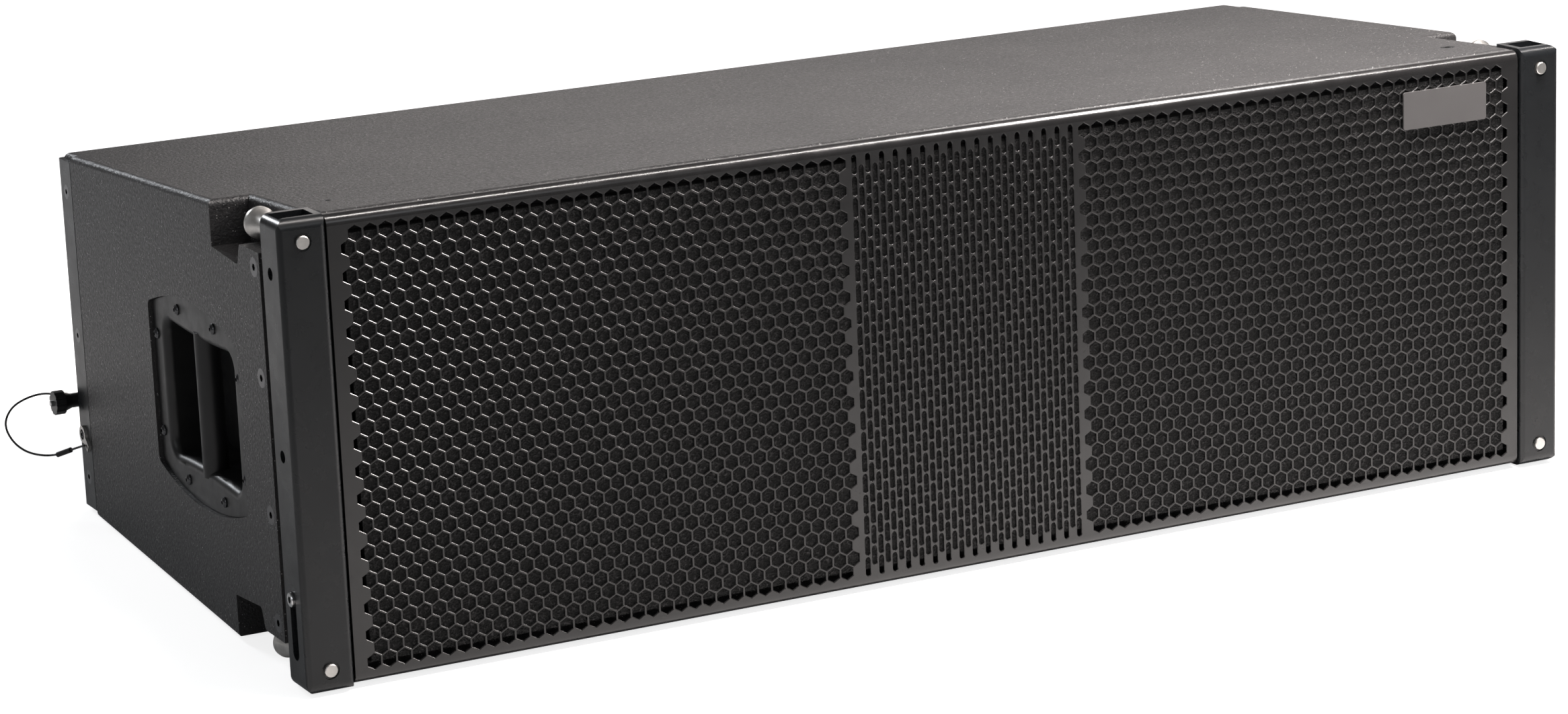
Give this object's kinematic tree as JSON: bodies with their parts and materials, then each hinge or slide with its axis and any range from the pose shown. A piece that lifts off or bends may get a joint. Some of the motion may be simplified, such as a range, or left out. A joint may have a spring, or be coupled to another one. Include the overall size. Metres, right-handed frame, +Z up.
{
  "type": "line array speaker",
  "caption": "Wedge-shaped line array loudspeaker with perforated steel grille, recessed side handles, front rigging posts with sliding links and pull pins, and rear swing links.",
  "frame": {"origin": "centre of the footprint at the bottom of the front posts, lanyards left out", "axes": "+X to the right seen from the front, +Y from the grille to the back, +Z up; the wedge tapers towards +Y"},
  "size_m": [1.225, 0.5629, 0.356],
  "materials": {
    "cabinet_paint": "plywood under rough black textured paint",
    "inner_plywood": "plywood painted flat black",
    "grille_steel": "satin black powder coat on perforated sheet",
    "foam": "open-cell black acoustic foam",
    "badge": "gloss black, blank",
    "basket": "black painted casting",
    "magnet": "dark magnet and plates",
    "cone": "coated paper",
    "surround": "matte",
    "spider": "woven cloth",
    "horn": "moulded black",
    "circuit": "circuit board with coils and capacitors",
    "input_steel": "black powder coat",
    "socket": "moulded connector body",
    "handle": "satin black moulding",
    "grip": "satin black bar",
    "rigging_steel": "satin black powder coat",
    "black_screw": "black oxide, worn bright at the sockets",
    "pin_steel": "turned, zinc bright",
    "bright": "polished",
    "quick_pin": "black anodised pin with knurled head",
    "wire": "black plastic-coated wire rope",
    "sleeve": "black heat-shrink over the crimp"
  },
  "bodies": {
    "cabinet": {"top_panel": "cabinet_paint", "bottom_panel": "cabinet_paint", "left_side_panel": "cabinet_paint", "right_side_panel": "cabinet_paint", "rear_panel": "cabinet_paint", "front_baffle": "inner_plywood", "dividers": "inner_plywood", "grille": "grille_steel", "grille_foam": "foam", "badge_plate": "badge", "left_woofer_basket": "basket", "right_woofer_basket": "basket", "left_woofer_magnet": "magnet", "right_woofer_magnet": "magnet", "hf_drivers": "magnet", "left_woofer_surround": "surround", "right_woofer_surround": "surround", "left_woofer_spider": "spider", "right_woofer_spider": "spider", "hf_waveguide": "horn", "crossover_board": "circuit", "input_plate": "input_steel", "input_sockets": "socket", "left_handle_cup": "handle", "right_handle_cup": "handle", "left_handle_grip": "grip", "right_handle_grip": "grip", "left_front_post": "rigging_steel", "right_front_post": "rigging_steel", "left_rear_angle": "rigging_steel", "right_rear_angle": "rigging_steel", "post_screws": "black_screw", "angle_and_lid_screws": "black_screw", "pan_head_screws": "black_screw", "rear_pivots": "black_screw", "pin_housings": "pin_steel", "left_top_pin_spring": "pin_steel", "left_bottom_pin_spring": "pin_steel", "right_top_pin_spring": "pin_steel", "right_bottom_pin_spring": "pin_steel", "lanyard_lugs": "pin_steel", "left_lanyard": "wire", "right_lanyard": "wire", "lanyard_sleeves": "sleeve"},
    "left_front_link": {"left_front_link": "rigging_steel", "left_link_guide": "bright"},
    "left_top_locking_pin": {"left_top_locking_pin": "pin_steel"},
    "left_bottom_locking_pin": {"left_bottom_locking_pin": "pin_steel"},
    "left_rear_link": {"left_rear_link_arm": "rigging_steel"},
    "left_quick_pin": {"left_quick_pin": "quick_pin"},
    "left_pin_button": {"left_pin_button": "bright"},
    "left_woofer_cone": {"left_woofer_cone": "cone"},
    "right_front_link": {"right_front_link": "rigging_steel", "right_link_guide": "bright"},
    "right_top_locking_pin": {"right_top_locking_pin": "pin_steel"},
    "right_bottom_locking_pin": {"right_bottom_locking_pin": "pin_steel"},
    "right_rear_link": {"right_rear_link_arm": "rigging_steel"},
    "right_quick_pin": {"right_quick_pin": "quick_pin"},
    "right_pin_button": {"right_pin_button": "bright"},
    "right_woofer_cone": {"right_woofer_cone": "cone"}
  },
  "joints": [
    {"name": "left_link_drop", "type": "slide", "parent": "cabinet", "child": "left_front_link", "axis": [0, 0, -1], "range_m": [0, 0.041]},
    {"name": "left_top_pin_pull", "type": "slide", "parent": "cabinet", "child": "left_top_locking_pin", "axis": [0, 1, 0], "range_m": [0, 0.0275], "stiffness_N_per_m": 800, "springref_m": -0.01, "deforming": ["left_top_pin_spring"]},
    {"name": "left_bottom_pin_pull", "type": "slide", "parent": "cabinet", "child": "left_bottom_locking_pin", "axis": [0, 1, 0], "range_m": [0, 0.0275], "stiffness_N_per_m": 800, "springref_m": -0.01, "deforming": ["left_bottom_pin_spring"]},
    {"name": "left_rear_link_swing", "type": "hinge", "parent": "cabinet", "child": "left_rear_link", "pos_m": [-0.5355, 0.25, 0.284], "axis": [1, 0, 0], "range_deg": [0, 180]},
    {"name": "left_quick_pin_pull", "type": "slide", "parent": "cabinet", "child": "left_quick_pin", "axis": [-1, 0, 0], "range_m": [0, 0.032]},
    {"name": "left_button_press", "type": "slide", "parent": "left_quick_pin", "child": "left_pin_button", "axis": [1, 0, 0], "range_m": [0, 0.003], "stiffness_N_per_m": 500, "springref_m": -0.002},
    {"name": "left_cone_travel", "type": "slide", "parent": "cabinet", "child": "left_woofer_cone", "axis": [0, 1, 0], "range_m": [-0.006, 0.006], "stiffness_N_per_m": 4000, "deforming": ["left_woofer_surround", "left_woofer_spider"]},
    {"name": "right_link_drop", "type": "slide", "parent": "cabinet", "child": "right_front_link", "axis": [0, 0, -1], "range_m": [0, 0.041]},
    {"name": "right_top_pin_pull", "type": "slide", "parent": "cabinet", "child": "right_top_locking_pin", "axis": [0, 1, 0], "range_m": [0, 0.0275], "stiffness_N_per_m": 800, "springref_m": -0.01, "deforming": ["right_top_pin_spring"]},
    {"name": "right_bottom_pin_pull", "type": "slide", "parent": "cabinet", "child": "right_bottom_locking_pin", "axis": [0, 1, 0], "range_m": [0, 0.0275], "stiffness_N_per_m": 800, "springref_m": -0.01, "deforming": ["right_bottom_pin_spring"]},
    {"name": "right_rear_link_swing", "type": "hinge", "parent": "cabinet", "child": "right_rear_link", "pos_m": [0.5355, 0.25, 0.284], "axis": [1, 0, 0], "range_deg": [0, 180]},
    {"name": "right_quick_pin_pull", "type": "slide", "parent": "cabinet", "child": "right_quick_pin", "axis": [1, 0, 0], "range_m": [0, 0.032]},
    {"name": "right_button_press", "type": "slide", "parent": "right_quick_pin", "child": "right_pin_button", "axis": [-1, 0, 0], "range_m": [0, 0.003], "stiffness_N_per_m": 500, "springref_m": -0.002},
    {"name": "right_cone_travel", "type": "slide", "parent": "cabinet", "child": "right_woofer_cone", "axis": [0, 1, 0], "range_m": [-0.006, 0.006], "stiffness_N_per_m": 4000, "deforming": ["right_woofer_surround", "right_woofer_spider"]}
  ]
}
